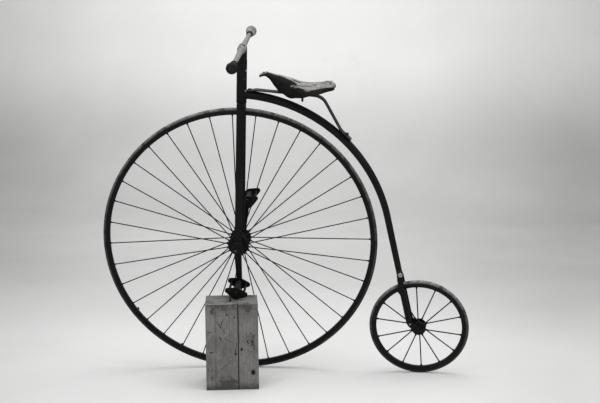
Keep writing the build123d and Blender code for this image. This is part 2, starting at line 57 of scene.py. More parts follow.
forward = Vector(
    (math.sin(yaw) * math.cos(pitch), math.cos(yaw) * math.cos(pitch), math.sin(pitch))
)
level = Vector((math.cos(yaw), -math.sin(yaw), 0))
over = level.cross(forward)
right = level * math.cos(roll) + over * math.sin(roll)
above = over * math.cos(roll) - level * math.sin(roll)
camera = bpy.data.objects.new("camera", bpy.data.cameras.new("camera"))
camera.data.lens = focal_pixels / picture_width * sensor_width
camera.data.sensor_width = sensor_width
camera.data.clip_end = 60
camera_turn = Matrix((right, above, -forward)).transposed().to_4x4()
camera.matrix_world = Matrix.Translation(front_hub + camera_from_hub) @ camera_turn
bpy.context.scene.collection.objects.link(camera)
bpy.context.scene.camera = camera
bpy.context.scene.view_settings.view_transform = "Standard"

# Columns: name, place, what it points at, width of the soft box, watts
for name, place, aim, size, power in (
    ("overhead", (0.4, 0.2, 4.6), (0, 0, 0.6), 4.0, 150),
    ("front", (-2.6, -4.8, 3.0), (0, 0, 0.7), 3.0, 75),
    ("side", (4.2, -1.8, 2.2), (0, 0, 0.8), 2.4, 40),
    ("wall", (-1.3, 4.4, 4.4), (-1.0, 7.4, 1.6), 4.0, 115),
):
    lamp = bpy.data.objects.new(name, bpy.data.lights.new(name, "AREA"))
    lamp.data.size = size
    lamp.data.energy = power
    lamp.location = place
    lamp.rotation_euler = (Vector(aim) - Vector(place)).to_track_quat("-Z", "Y").to_euler()
    bpy.context.scene.collection.objects.link(lamp)

world = bpy.data.worlds.new("studio")
world.use_nodes = True
background = world.node_tree.nodes["Background"]
background.inputs["Color"].default_value = (0.9, 0.9, 0.9, 1)
background.inputs["Strength"].default_value = 0.55
bpy.context.scene.world = world


class Wire:
    """A value in a material. Sums on it add Math nodes, and add() makes any other node."""

    def __init__(self, socket):
        self.socket = socket

    def add(self, kind, settings=None, values=None, out=0):
        """A new node, with its settings, what its sockets hold or are linked to, and its output."""
        tree = self.socket.id_data
        node = tree.nodes.new(kind)
        for name, value in (settings or {}).items():
            setattr(node, name, value)
        for name, value in (values or {}).items():
            if isinstance(value, Wire):
                tree.links.new(value.socket, node.inputs[name])
            else:
                node.inputs[name].default_value = value
        return Wire(node.outputs[out])

    def sums(self, operation, first, second=0.0):
        return self.add("ShaderNodeMath", {"operation": operation}, {0: first, 1: second})

    def __add__(self, other):
        return self.sums("ADD", self, other)

    def __sub__(self, other):
        return self.sums("SUBTRACT", self, other)

    def __rsub__(self, other):
        return self.sums("SUBTRACT", other, self)

    def __mul__(self, other):
        return self.sums("MULTIPLY", self, other)

    def __truediv__(self, other):
        return self.sums("DIVIDE", self, other)

    __radd__ = __add__
    __rmul__ = __mul__

    def between(self, low, high):
        """0 below low, 1 above high and a smooth rise in between, or a fall if low is higher."""
        falls = low > high
        values = {"From Min": min(low, high), "From Max": max(low, high)}
        values.update({"Value": self, "To Min": float(falls), "To Max": float(not falls)})
        return self.add("ShaderNodeMapRange", {"interpolation_type": "SMOOTHSTEP"}, values)

    def noise(self, scale, detail=3.0, rough=0.5):
        values = {"Vector": self, "Scale": scale, "Detail": detail, "Roughness": rough}
        return self.add("ShaderNodeTexNoise", None, values)

    def cells(self, scale, feature="F1"):
        values = {"Vector": self, "Scale": scale}
        return self.add("ShaderNodeTexVoronoi", {"feature": feature}, values)

    def shades(self, *colours):
        """Mixes from the first colour or wire to the second, by this value."""
        first, second = (value if isinstance(value, Wire) else (*value, 1) for value in colours)
        return self.add("ShaderNodeMix", {"data_type": "RGBA"}, {0: self, 6: first, 7: second}, 2)

    def vector(self, operation, other, out=0):
        return self.add("ShaderNodeVectorMath", {"operation": operation}, {0: self, 1: other}, out)

    def length(self):
        return self.vector("LENGTH", (0, 0, 0), 1)

    def axis(self, which):
        return self.add("ShaderNodeSeparateXYZ", None, {0: self}, which)

    def upward(self):
        """How far the surface faces up: 1 on a level top, 0 on a wall and -1 underneath."""
        return self.add("ShaderNodeNewGeometry", None, None, 1).axis(2)

    def spread(self, size, middle=(0, 0, 0), turn=(0, 0, 0)):
        """These coordinates from a middle, along turned axes, in units of a size on each axis."""
        values = {"Vector": self, "Location": middle, "Rotation": turn, "Scale": size}
        return self.add("ShaderNodeMapping", {"vector_type": "TEXTURE"}, values)

    def root(self):
        return self.sums("POWER", self, 0.5)

    def wave(self):
        """From 0 to 1 and back, once for each 2 pi."""
        return self.sums("SINE", self) * 0.5 + 0.5

    def bump(self, depth, strength=1.0):
        """A surface normal that follows this value as a height of depth metres."""
        values = {"Height": self, "Distance": depth, "Strength": strength}
        return self.add("ShaderNodeBump", None, values)


def surface(name, recipe):
    """A material whose recipe gives its shader sockets from the Object coordinates."""
    material = bpy.data.materials.new(name)
    material.use_nodes = True
    tree = material.node_tree
    shader = tree.nodes["Principled BSDF"]
    place = Wire(tree.nodes.new("ShaderNodeTexCoord").outputs["Object"])
    for socket, value in recipe(place).items():
        if isinstance(value, Wire):
            tree.links.new(value.socket, shader.inputs[socket])
        else:
            shader.inputs[socket].default_value = value
    return material


def studio_sheet(place):
    clouds = place.noise(0.9, 4.0, 0.55)
    scuffs = place.spread((0.5, 0.06, 0.5)).noise(1.0, 5.0, 0.7).between(0.60, 0.74)
    deep = place.axis(1)
    share = (place.axis(0) + deep * 0.15 + 0.12) / (deep * 0.22 + 1.45)
    # Painted light: the sheet is painted paler towards its middle, higher up the wall and nearer the front,
    # standing in for the lamps' falloff; the clouds add random tone and the scuffs are real marks.
    painted_light = (share * share).between(1.0, 0.0) * 0.28
    painted_light = painted_light + place.axis(2).between(0.42, 1.55) * 0.6
    painted_light = painted_light + deep.between(3.2, 0.3) * 0.4 + 0.08 + (clouds - 0.5) * 0.3
    pale = painted_light.shades((0.36, 0.36, 0.357), (0.84, 0.84, 0.835))
    return {
        "Base Color": (scuffs * 0.12).shades(pale, (0.42, 0.42, 0.415)),
        "Roughness": 0.85,
        "Specular IOR Level": 0.2,
    }


floor_size, wall_height, sweep_radius = 18, 5.5, 1.6
bpy.ops.object.select_all(action="DESELECT")
bpy.ops.mesh.primitive_plane_add(size=floor_size, location=(0, -1.8, 0))
floor = bpy.context.object
floor.name = "studio_floor"
bpy.ops.object.mode_set(mode="EDIT")
bpy.ops.mesh.select_all(action="DESELECT")
bpy.ops.mesh.select_mode(type="EDGE")
bpy.ops.object.mode_set(mode="OBJECT")
for edge in floor.data.edges:
    ends = [floor.data.vertices[number].co.y for number in edge.vertices]
    edge.select = min(ends) > floor_size / 2 - 0.1
bpy.ops.object.mode_set(mode="EDIT")
bpy.ops.mesh.extrude_region_move(TRANSFORM_OT_translate={"value": (0, 0, wall_height)})
bpy.ops.object.mode_set(mode="OBJECT")
bevel = floor.modifiers.new("sweep", "BEVEL")
bevel.width = sweep_radius
bevel.segments = 16
bevel.limit_method = "ANGLE"
bpy.ops.object.modifier_apply(modifier="sweep")
bpy.ops.object.shade_smooth()
bpy.ops.object.transform_apply(location=True, rotation=True, scale=True)
floor.data.materials.append(surface("studio_sheet", studio_sheet))


# Wooden block: two upright softwood timbers, stood side by side and left rough from the saw.
# The grain runs up the sides and shows as rings on top, with a few knots and old nail holes.
block_middle = Vector(frame["record"]["mounts"][0]["pos_m"])
block_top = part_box("block_timber_wide")[1][2]
block_turn = math.radians(12)
block_half_width, block_half_depth = 0.1165, 0.108
timber_joint_x = 0.0275

# Columns: x, y and z on the block, half width and half height, in millimetres, and lean in degrees
block_knots = (
    (92, -108, 77, 8.5, 12.0, 0),
    (42, -108, 183, 5.0, 7.0, 0),
    (15, -108, 163, 4.0, 5.5, 20),
    (97, -108, 183, 3.2, 4.2, 0),
    (-94, -108, 171, 8.0, 2.6, 0),
    (-36, -108, 270, 2.0, 3.0, 0),
    (11, -108, 329, 3.0, 4.6, 0),
    (-116, -60, 250, 9.0, 15.0, 0),
    (116, 40, 120, 9.0, 14.0, 0),
    (-30, 108, 140, 8.0, 12.0, 0),
)
block_cuts = (
    (-58, -108, 298, 2.2, 13.0, -38),
    (-52, -108, 286, 1.3, 9.0, -30),
    (-43, -108, 306, 2.2, 15.0, 20),
    (-52, -108, 236, 2.0, 12.0, -28),
    (-20, -108, 226, 1.0, 16.0, -62),
    (-98, -108, 262, 1.2, 15.0, -72),
    (70, -108, 214, 2.6, 10.0, -30),
    (90, -108, 216, 2.4, 10.0, 24),
    (74, -108, 176, 0.8, 20.0, -70),
    (-30, -108, 110, 0.7, 46.0, 48),
    (16, -108, 186, 1.6, 22.0, 6),
    (-108, -108, 92, 1.8, 9.0, 8),
    (-92, -108, 52, 2.0, 7.0, 20),
    (-72, -108, 190, 0.9, 170.0, 0.6),
    (-12, -108, 310, 0.6, 66.0, -0.5),
)
block_stains = (
    (-83, -108, 362, 6.0, 13.0, 0),
    (-26, -108, 356, 8.0, 20.0, 0),
    (74, -108, 368, 14.0, 13.0, 0),
    (-18, -108, 28, 30.0, 18.0, 0),
    (84, -108, 216, 12.0, 20.0, 0),
)


def cover(material, *nodes):
    """Gives CAD nodes a material."""
    for node in nodes:
        frame["nodes"][node].data.materials.clear()
        frame["nodes"][node].data.materials.append(material)


def on_block(x, y, z):
    """A point of the block, from millimetres along its width and depth off its middle, and up."""
    turn = Matrix.Rotation(block_turn, 3, "Z")
    return block_middle + turn @ Vector((x / 1000, y / 1000, z / 1000))


def weathered_timber(pith):
    """Grey sawn softwood. The rings' middle is the pith, in metres off the block's middle."""

    def recipe(place):
        board = place.spread((1, 1, 1), tuple(block_middle), (0, 0, block_turn))
        drift = board.spread((0.11, 0.11, 1.1)).noise(1.0, 3.0)
        sway = board.noise(9.0, 3.0, 0.55)
        x, y, up = board.axis(0), board.axis(1), board.axis(2)
        east, north = x - pith[0], y - pith[1]
        rings = (((east * east + north * north).root() + drift * 0.04 + sway * 0.045) * 640).wave()
        fibres = board.spread((0.0021, 0.0021, 0.10)).noise(1.0, 4.0, 0.7)
        saw = board.spread((0.07, 0.07, 0.0038), (0, 0, 0), (0, 0.09, 0)).noise(1.0, 2.0, 0.5)
        blotches = place.noise(13.0, 5.0, 0.62)
        grime = place.noise(60.0, 5.0, 0.7)
        grains = place.noise(330.0, 4.0, 0.7)
        top = up.between(block_top - 0.0018, block_top - 0.0006)
        wood = blotches.between(0.3, 0.7).shades((0.155, 0.152, 0.145), (0.240, 0.235, 0.225))
        wood = (rings.between(0.45, 0.95) * (top * 0.50 + 0.20)).shades(wood, (0.080, 0.077, 0.072))
        # Painted top light: the top face is painted paler than the sides.
        wood = (top * 0.35).shades(wood, (0.300, 0.294, 0.282))
        cracked = top * (sway * 0.55 + grime * 0.45).between(0.51, 0.58)
        wood = (cracked * 0.8).shades(wood, (0.045, 0.043, 0.040))
        wood = (grains.between(0.44, 0.60) * 0.42).shades(wood, (0.078, 0.075, 0.070))
        wood = (grime.between(0.53, 0.70) * 0.5).shades(wood, (0.070, 0.067, 0.062))
        wood = (fibres.between(0.50, 0.70) * (1 - top) * 0.6).shades(wood, (0.066, 0.064, 0.059))
        # The sides are darker in ragged bands under the top edge and towards the foot, and along the corners and
        # the top front arris.
        aside = (x * x).between((block_half_width - 0.003) ** 2, (block_half_width - 0.0003) ** 2)
        out = (y * y).between((block_half_depth - 0.003) ** 2, (block_half_depth - 0.0002) ** 2)
        edge = aside * out * grime.between(0.40, 0.55)
        arris = (y + 0.0005).between(0.004 - block_half_depth, 0.0005 - block_half_depth)
        edge = edge + arris * up.between(block_top - 0.004, block_top - 0.0012)
        ragged = place.noise(34.0, 5.0, 0.7)
        dark_bands = (up + ragged * 0.05).between(block_top - 0.008, block_top + 0.022)
        dark_bands = dark_bands * (1 - top) * ragged.between(0.44, 0.58)
        dark_bands = dark_bands + (up - ragged * 0.05).between(0.006, -0.016) + edge * 0.9
        wood = (dark_bands * 0.72).shades(wood, (0.032, 0.030, 0.027))
        joint = x - timber_joint_x
        joint = (joint * joint).root() + (grime - 0.5) * 0.0012 + top * 0.0016
        wood = joint.between(0.0034, 0.0016).shades(wood, (0.012, 0.011, 0.010))
        depth = fibres * 0.35 + rings * 0.12 + saw * 0.18 + grime * 0.2
        depth = depth - joint.between(0.004, 0.001) * 0.8
        for marks, fuzz, colour in (
            (block_stains, 5.5, (0.066, 0.063, 0.058)),
            (block_cuts, 3.6, (0.024, 0.023, 0.020)),
            (block_knots, 0.7, (0.009, 0.009, 0.008)),
        ):
            nearest = 9.0
            for x_mm, y_mm, z_mm, half, tall, lean in marks:
                middle = (x_mm / 1000, y_mm / 1000, z_mm / 1000)
                size, turn = (half / 1000, 0.012, tall / 1000), (0, math.radians(lean), 0)
                near = board.spread(size, middle, turn).length()
                nearest = near.sums("MINIMUM", near, nearest)
            nearest = nearest + (grains * 0.6 + ragged * 1.4 - 1.0) * fuzz
            wood = (nearest.between(2.2, 1.0) * 0.3).shades(wood, (0.070, 0.066, 0.060))
            wood = nearest.between(1.15, 0.8).shades(wood, colour)
        return {
            "Base Color": wood,
            "Roughness": 0.86,
            "Specular IOR Level": 0.25,
            "Normal": depth.bump(0.0016),
        }

    return recipe


cover(surface("wide_weathered_timber", weathered_timber((-0.06, 0.21))), "block_timber_wide")
cover(surface("narrow_weathered_timber", weathered_timber((0.19, 0.05))), "block_timber_narrow")


# Peg: a worn iron spike, driven into the block's top beside the pedal so that it can't roll off.
# It is forged round and its head is burred over by the hammer.
def turned(name, sides, outline):
    """A piece as from a lathe: a disc pulled up through (radius, height) pairs, in metres."""
    bpy.ops.object.select_all(action="DESELECT")
    radius, height = outline[0]
    bpy.ops.mesh.primitive_circle_add(
        vertices=sides, radius=radius, fill_type="NGON", location=(0, 0, height)
    )
    bpy.context.object.name = name
    bpy.ops.object.transform_apply(location=True, rotation=True, scale=True)
    bpy.ops.object.mode_set(mode="EDIT")
    bpy.ops.mesh.select_all(action="SELECT")
    for wider, higher in outline[1:]:
        bpy.ops.mesh.extrude_region_move(TRANSFORM_OT_translate={"value": (0, 0, higher - height)})
        growth = wider / radius
        bpy.ops.transform.resize(value=(growth, growth, 1), center_override=(0, 0, higher))
        radius, height = wider, higher
    bpy.ops.mesh.select_all(action="SELECT")
    bpy.ops.mesh.normals_make_consistent(inside=False)
    bpy.ops.object.mode_set(mode="OBJECT")
    return bpy.context.object


def only(piece):
    """Selects one piece and makes it the active one."""
    bpy.ops.object.select_all(action="DESELECT")
    piece.select_set(True)
    bpy.context.view_layer.objects.active = piece


def stand(piece, place, way, side=None):
    """Moves a piece from the origin to its place, its height along a way, in its own mesh."""
    only(piece)
    rise = Vector(way).normalized()
    across = Vector(side) if side else rise.orthogonal()
    across = (across - rise * across.dot(rise)).normalized()
    turn = Matrix((across, rise.cross(across), rise)).transposed().to_4x4()
    piece.matrix_world = Matrix.Translation(place) @ turn
    bpy.ops.object.transform_apply(location=True, rotation=True, scale=True)


def repeated(pattern, name, places):
    """Copies of a piece, each stood at its own place, way and side, then joined as one."""
    copies = []
    for place in places:
        copy = bpy.data.objects.new(name, pattern.data.copy())
        bpy.context.scene.collection.objects.link(copy)
        stand(copy, *place)
        copies.append(copy)
    bpy.data.objects.remove(pattern)
    only(copies[0])
    for copy in copies[1:]:
        copy.select_set(True)
    bpy.ops.object.join()
    copies[0].name = name
    return copies[0]


def fit(piece, body, material, smooth=35):
    """Gives a new piece its shading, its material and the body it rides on."""
    only(piece)
    bpy.ops.object.shade_smooth_by_angle(angle=math.radians(smooth))
    piece.data.materials.clear()
    piece.data.materials.append(material)
    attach(piece, body)


def rusty_iron(place):
    scale = place.noise(160.0, 5.0, 0.7)
    flakes = place.noise(900.0, 3.0, 0.6)
    colour = scale.between(0.35, 0.65).shades((0.008, 0.008, 0.007), (0.030, 0.021, 0.016))
    return {
        "Base Color": colour,
        "Roughness": 0.62 + scale * 0.25,
        "Specular IOR Level": 0.2,
        "Normal": (scale * 0.7 + flakes * 0.3).bump(0.0003),
    }


rust = surface("rusty_iron", rusty_iron)
peg = turned(
    "block_peg",
    14,
    (
        (0.0042, -0.0006), (0.0040, 0.008), (0.0044, 0.014), (0.0040, 0.0195),
        (0.0048, 0.0200), (0.0052, 0.0222), (0.0046, 0.0240), (0.0020, 0.0248),
    ),
)
stand(peg, on_block(-6, -44, block_top * 1000), (0.05, -0.03, 1))
fit(peg, "frame", rust)


# Frame and fork: wrought iron under thin old black enamel, dull, with fine scratches, rubbed
# spots that show grey iron, and rust in small pits. Dust lies on what faces up, and those faces are painted paler
# as painted top light too.
front_axle = Vector(joints["front_wheel_spin"]["axis"])
rear_axle = Vector(joints["rear_wheel_spin"]["axis"])
steering = Vector(joints["steering"]["axis"])
rake = math.radians(3.8)


def axes_of(axle):
    """The axes that the machine is drawn in, X to the rear and Z up, for what holds an axle."""
    side = axle.cross(steering)
    rear = side * math.cos(rake) + steering * math.sin(rake)
    up = steering * math.cos(rake) - side * math.sin(rake)
    return Matrix.Translation(front_hub) @ Matrix((rear, axle, up)).transposed().to_4x4()


fork_axes = axes_of(front_axle)
frame_axes = axes_of(rear_axle)


def on_fork(x, y, z):
    """A point of the fork or front wheel, from millimetres off the front hub."""
    return fork_axes @ Vector((x / 1000, y / 1000, z / 1000))


def on_frame(x, y, z):
    """A point of the frame or rear wheel, from millimetres off the front hub."""
    return frame_axes @ Vector((x / 1000, y / 1000, z / 1000))


def black_iron(dust_and_top_light, bare):
    """Old black enamel, by how much dust and painted top light lie on what faces up, and how much bare iron shows
    through.
    """

    def recipe(place):
        wear = place.noise(26.0, 6.0, 0.7)
        pits = place.noise(240.0, 3.0, 0.6)
        scratches = place.spread((0.0011, 0.033, 0.0011), (0, 0, 0), (0.4, 0.2, 0.7))
        scratches = scratches.noise(1.0, 2.0, 0.5)
        rusted = wear.between(0.58, 0.70) * pits.between(0.45, 0.6)
        pale_share = pits.between(0.66, 0.74) * wear.between(0.62 - bare, 0.7 - bare)
        facing = place.upward()
        film = place.noise(8.0, 4.0, 0.6).between(0.35, 0.7)
        colour = film.shades((0.0026, 0.0026, 0.0026), (0.0058, 0.0057, 0.0055))
        colour = (scratches.between(0.66, 0.8) * 0.35).shades(colour, (0.030, 0.029, 0.028))
        colour = (rusted * 0.6).shades(colour, (0.020, 0.014, 0.010))
        colour = (pale_share * 0.8).shades(colour, (0.13, 0.128, 0.124))
        # What faces up is painted paler: partly dust and partly painted top light.
        dusty_and_lit = facing.between(0.35, 0.95) * wear.between(0.25, 0.7) * dust_and_top_light
        colour = dusty_and_lit.shades(colour, (0.20, 0.195, 0.185))
        return {
            "Base Color": colour,
            "Roughness": 0.46 + rusted * 0.35 + wear * 0.12,
            "Specular IOR Level": 0.13,
            "Normal": (wear * 0.5 - rusted * 0.6 + scratches * 0.1).bump(0.0003),
        }

    return recipe


enamel = surface("old_black_enamel", black_iron(0.06, 0.04))
cover(
    enamel,
    "backbone", "steering_socket", "rear_fork_crown", "rear_fork_left", "rear_fork_right",
    "mounting_step", "fork_crown", "fork_blade_left", "fork_blade_right", "top_nut",
)


# Neck: soft iron rivets pin the backbone to the socket, and a small oiler is screwed into the
# socket. The rivets' heads are low, burred over by the hammer and under the same enamel.
frame_turn = frame_axes.to_3x3()
leftward = frame_turn @ Vector((0, -1, 0))
rivet = turned(
    "rivet",
    12,
    ((0.0036, -0.0008), (0.0034, 0.0008), (0.0026, 0.0016), (0.0012, 0.0021)),
)
# Columns: x and z on the frame, and half the width of the neck there, in millimetres
neck_rows = (
    (49.0, 735.0, 22.9),
    (51.0, 768.0, 22.9),
    (92.0, 690.9, 19.2),
    (120.0, 686.5, 19.1),
)
neck_rivets = repeated(
    rivet,
    "neck_rivets",
    [
        (on_frame(x, side * half, z), leftward * -side)
        for x, z, half in neck_rows
        for side in (-1, 1)
    ],
)
fit(neck_rivets, "frame", enamel)
socket_oiler = turned(
    "socket_oiler",
    16,
    (
        (0.0052, -0.0010), (0.0052, 0.0022), (0.0036, 0.0026), (0.0034, 0.0060),
        (0.0046, 0.0066), (0.0046, 0.0095), (0.0040, 0.0110), (0.0018, 0.0118),
    ),
)
oiler_way = frame_turn @ Vector((0.55, -0.83, 0))
socket_radius = 0.0228
stand(socket_oiler, on_frame(51.0, 0, 768.0) + oiler_way * socket_radius, oiler_way)
fit(socket_oiler, "frame", rust)


# Mounting step: the disc on the end of the peg is dished and filed across, for grip underfoot.
# It is bare where shoes have rubbed it.
# Rubbed iron: worn spots, and much paler where it faces up, partly dust and partly painted top light.
rubbed_top_lit_iron = surface("rubbed_top_lit_iron", black_iron(0.35, 0.22))


def bright_iron(place):
    grain = place.noise(300.0, 4.0, 0.6)
    fine = place.noise(700.0, 3.0, 0.6)
    return {
        "Base Color": grain.between(0.35, 0.65).shades((0.15, 0.148, 0.143), (0.42, 0.415, 0.405)),
        "Roughness": 0.42 + fine * 0.25,
        "Metallic": 0.5,
        "Normal": fine.bump(0.0001),
    }


bright = surface("bright_iron", bright_iron)
step_turn = math.radians(10)
step_way = frame_turn @ Vector((math.sin(step_turn), -math.cos(step_turn), 0))
step_middle = on_frame(743.711, -63.028, -128.334)
step_rim = turned(
    "step_face",
    32,
    (
        (0.0103, -0.0016), (0.0103, 0.0010), (0.0096, 0.0017), (0.0086, 0.0017),
        (0.0080, 0.0010), (0.0050, 0.0008), (0.0046, 0.0013), (0.0030, 0.0013),
        (0.0012, 0.0009),
    ),
)
stand(step_rim, step_middle, step_way)
fit(step_rim, "frame", bright)


# Rear fork: flat blades with a rivet above the axle's eye. The rivets' heads have lost their
# enamel and show bright iron.
blade_rivet = turned(
    "rivet",
    12,
    ((0.0042, -0.0008), (0.0040, 0.0007), (0.0031, 0.0016), (0.0014, 0.0022)),
)
blade_rivet_x, blade_outside_y, blade_rivet_z = 782.5, 33.9, -381.5
blade_rivets = repeated(
    blade_rivet,
    "rear_fork_rivets",
    [
        (on_frame(blade_rivet_x, side * blade_outside_y, blade_rivet_z), leftward * -side)
        for side in (-1, 1)
    ],
)
fit(blade_rivets, "frame", bright)


# Spring and saddle bar: flat strips of spring steel, once enamelled, rubbed grey where the rider's
# legs and the leather touch them, and painted paler where they face up, partly dust and partly painted top light.
# The nuts and the bolt are rusty.
cover(rubbed_top_lit_iron, "saddle_spring", "saddle_bar")
cover(rust, "spring_nuts", "saddle_bolt")


# Saddle: one piece of thick cowhide, moulded wet over a last and stretched on the bar, its skirts
# pulled down on both sides. The top is worn pale and has cracked, and is painted paler where it lies level, a
# painted top light; the skirts are black leather darkened further by painted shade.
saddle_front, saddle_length, saddle_foot = 130, 338, 697

# Columns: place along the machine, height of the crest over the saddle's foot, half width and
# drop of the sides, in millimetres
skin = (
    (130, 86, 9, 8), (145, 95, 16, 10), (165, 98.5, 20, 15), (205, 88.5, 27, 46),
    (228, 83, 34, 67), (252, 76, 43, 79), (282, 67, 56, 76), (318, 54, 73, 58),
    (356, 49.5, 86, 42), (400, 50.5, 82, 35), (440, 56, 60, 34), (457, 52, 42, 31),
    (468, 42, 22, 20),
)


def skin_row(x):
    """The leather's crest, half width and drop at a place, on a curve through the sections."""
    late = min(max(sum(row[0] <= x for row in skin), 1), len(skin) - 1)
    rows = [skin[min(max(late + step, 0), len(skin) - 1)] for step in (-2, -1, 0, 1)]
    share = (x - rows[1][0]) / (rows[2][0] - rows[1][0])
    values = []
    for column in (1, 2, 3):
        before, first, second, after = (row[column] for row in rows)
        leaving = (second - before) / 2 if late > 1 else second - first
        arriving = (after - first) / 2 if late < len(skin) - 1 else second - first
        curve = (2 * first - 2 * second + leaving + arriving) * share**3
        curve += (3 * second - 3 * first - 2 * leaving - arriving) * share**2
        values.append(curve + leaving * share + first)
    return values


def skin_point(x, share, lift=0.0):
    """A point of the leather and its slope, at a share from the crest (0) to the right edge (1)."""
    crest, half, drop = skin_row(x)
    waver = noise.noise((x / 26, 3.1 if share > 0 else 8.7, 0))
    drop = drop * (1 + 0.05 * waver * abs(share) ** 3)
    bend = (half * half + drop * drop) / (2 * drop)
    slope = share * math.atan2(half, bend - drop)
    sag = 1.2 * noise.noise((x / 38, share * 2.2, 1.7))
    sag += 0.5 * noise.noise((x / 14, share * 5.0, 4.2))
    seam = 1.4 * math.exp(-(((abs(share) - 0.93) / 0.04) ** 2))
    reach = bend + lift + sag * min(1, 3 * (1 - abs(share)) + 0.3) - seam * 0.8
    height = saddle_foot + crest - bend + reach * math.cos(slope)
    return on_frame(x, reach * math.sin(slope), height), slope


bpy.ops.object.select_all(action="DESELECT")
bpy.ops.mesh.primitive_grid_add(x_subdivisions=72, y_subdivisions=44, size=2, calc_uvs=True)
saddle = bpy.context.object
saddle.name = "saddle_hide"
# This value is high where the leather lies level: partly real wear of the top and partly painted top light; the
# steep skirts get none of it, which paints them in shade.
worn_and_lit = saddle.data.attributes.new("worn_and_lit", "FLOAT", "POINT")
for vertex in saddle.data.vertices:
    along, across = (vertex.co.x + 1) / 2, vertex.co.y
    place, slope = skin_point(saddle_front + saddle_length * along, across)
    vertex.co = place
    inside = min(1, max(0, (0.80 - abs(across)) / 0.20))
    worn_and_lit_to = 30 + 40 * min(1, max(0, (along - 0.44) / 0.26)) + 45 * max(0, 1 - along / 0.12)
    level = min(1, max(0, (math.radians(worn_and_lit_to) - abs(slope)) / math.radians(24)))
    worn_and_lit.data[vertex.index].value = level * inside
only(saddle)
bpy.ops.object.mode_set(mode="EDIT")
bpy.ops.mesh.select_all(action="SELECT")
bpy.ops.mesh.normals_make_consistent(inside=False)
bpy.ops.object.mode_set(mode="OBJECT")
hide_up = sum((face.normal * face.area for face in saddle.data.polygons), Vector())
thickness = saddle.modifiers.new("thickness", "SOLIDIFY")
thickness.thickness = 0.0048
thickness.offset = -1 if hide_up.z > 0 else 1
thickness.use_even_offset = True
bpy.ops.object.modifier_apply(modifier="thickness")
smoothed = saddle.modifiers.new("smoothed", "SUBSURF")
smoothed.levels = smoothed.render_levels = 1
bpy.ops.object.modifier_apply(modifier="smoothed")

# Columns: place along and across the hide's own map, half length and half width as shares of
# it, and turn in degrees
hide_cracks = (
    (0.500, 0.425, 0.070, 0.0200, -8),
    (0.735, 0.335, 0.060, 0.0110, -44),
    (0.600, 0.610, 0.060, 0.0035, 30),
    (0.300, 0.440, 0.050, 0.0025, 8),
    (0.880, 0.300, 0.040, 0.0030, 62),
)


def cracked_leather(place):
    chart = place.add("ShaderNodeUVMap")
    pale_share = place.add("ShaderNodeAttribute", {"attribute_name": "worn_and_lit"}, None, 2)
    mottle = place.noise(60.0, 6.0, 0.66)
    smudge = place.noise(16.0, 4.0, 0.6)
    pores = place.noise(1400.0, 2.0, 0.6)
    brushed = chart.spread((0.20, 0.055, 1)).noise(1.0, 5.0, 0.68)
    creases = place.cells(150.0, "DISTANCE_TO_EDGE")
    fine = creases.between(0.06, 0.0) * smudge.between(0.42, 0.60)
    drift = chart.noise(22.0, 3.0, 0.6)
    wander = chart.noise(9.0, 2.0).vector("MULTIPLY", (0.012, 0.012, 0.0))
    wandering = chart.vector("ADD", wander)
    left_skirt, tilt = tuple(on_frame(292, -54, 738)), tuple(frame_axes.to_euler())
    rubs = place.spread((0.030, 0.03, 0.014), left_skirt, tilt)
    rubs = rubs.length().between(1.3, 0.3) * 0.55
    # The top colour goes where the leather lies level, partly real wear and partly painted top light; the black
    # skirt colour is partly the leather's own and partly painted shade.
    pale = pale_share + rubs + (mottle - 0.5) * 1.3 + (brushed - 0.5) * 2.2
    pale = pale.between(0.30, 0.86)
    skirt_black_and_shade = smudge.between(0.35, 0.65).shades((0.0022, 0.0021, 0.0020), (0.0060, 0.0057, 0.0053))
    top = brushed.between(0.34, 0.60).shades((0.095, 0.091, 0.085), (0.320, 0.312, 0.299))
    top = (mottle.between(0.54, 0.66) * 0.55).shades(top, (0.030, 0.028, 0.025))
    colour = pale.shades(skirt_black_and_shade, top)
    depth = mottle * 0.4 + pores * 0.08 - fine * 0.5 + brushed * 0.15
    colour = (fine * 0.6).shades(colour, (0.012, 0.011, 0.010))
    for along, across, length, width, turn in hide_cracks:
        middle = (along + 0.006, across + 0.006, 0)
        near = wandering.spread((length, width, 1), middle, (0, 0, math.radians(turn)))
        near = near.length() + drift * 0.8 - 0.4
        colour = (near.between(2.6, 1.5) * 0.55).shades(colour, (0.42, 0.41, 0.39))
        colour = near.between(1.3, 0.9).shades(colour, (0.005, 0.005, 0.004))
        depth = depth - near.between(1.6, 0.5) * 1.5
    return {
        "Base Color": colour,
        "Roughness": 0.78 - mottle * 0.15,
        "Specular IOR Level": 0.12,
        "Normal": depth.bump(0.0011),
    }


hide = surface("cracked_leather", cracked_leather)
fit(saddle, "frame", hide, 60)
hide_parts("saddle_leather")


# Saddle rivets: soft iron rivets through the leather into the bar's tabs, and one in each skirt.
# Each has a flat burred head, black once and rubbed since, and painted paler where it faces up, partly painted top
# light.
saddle_rivet = turned(
    "rivet",
    12,
    (
        (0.0046, -0.0020), (0.0046, 0.0006), (0.0040, 0.0013), (0.0026, 0.0016),
        (0.0020, 0.0011), (0.0010, 0.0010),
    ),
)
front_tab, rear_tab = ((152, 0.0), (166, 0.0)), ((430, 0.0), (448, -0.32), (448, 0.32))
skirts = ((235, -0.74), (235, 0.74))
hide_places = []
for x, share in front_tab + rear_tab + skirts:
    point = skin_point(x, share)[0]
    higher = skin_point(x, share, 4.0)[0]
    hide_places.append((point, higher - point))
hide_rivets = repeated(saddle_rivet, "saddle_rivets", hide_places)
fit(hide_rivets, "frame", rubbed_top_lit_iron)


